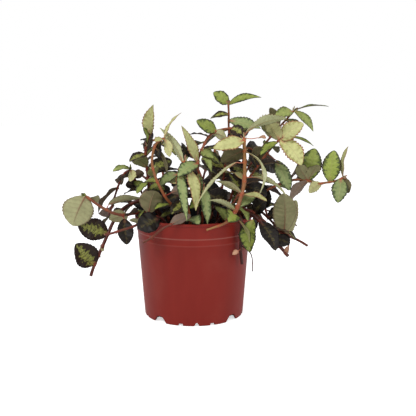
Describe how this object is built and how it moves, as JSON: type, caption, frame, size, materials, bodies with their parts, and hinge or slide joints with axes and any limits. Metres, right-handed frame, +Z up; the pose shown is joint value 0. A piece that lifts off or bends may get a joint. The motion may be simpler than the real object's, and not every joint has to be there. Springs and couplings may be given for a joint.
{
  "type": "potted trailing watermelon pellionia",
  "caption": "Trailing houseplant with thin red stems and scalloped, dark-edged green leaves, spilling over a round tapered nursery pot with notched foot.",
  "frame": {"origin": "middle of the bounding box of plant and pot, on the surface the pot stands on", "axes": "+Z up, +X to the right and +Y away from someone who sees the plant as the picture does"},
  "size_m": [0.2818, 0.1966, 0.2282],
  "materials": {
    "pot": "satin",
    "soil": "matte",
    "young_foliage": "satin",
    "old_foliage": "satin"
  },
  "bodies": {
    "root": {"pot": "pot", "soil": "soil", "back_stem_1": "old_foliage", "back_stem_2": "old_foliage", "back_stem_3": "old_foliage", "back_stem_4": "old_foliage", "back_stem_5": "old_foliage", "back_stem_6": "old_foliage", "back_stem_7": "old_foliage", "back_stem_8": "old_foliage", "centre_front": "young_foliage", "front_arc": "young_foliage", "front_hanger": "old_foliage", "front_nodes": "young_foliage", "front_stub": "old_foliage", "left_drooper": "old_foliage", "left_low": "old_foliage", "left_reach": "old_foliage", "left_rise": "old_foliage", "left_upright": "young_foliage", "right_arc": "young_foliage", "right_cut": "old_foliage", "right_dark": "old_foliage", "right_low": "old_foliage", "right_reach": "young_foliage", "right_rosette": "young_foliage", "right_top": "young_foliage", "top_sprig": "young_foliage"}
  },
  "joints": []
}
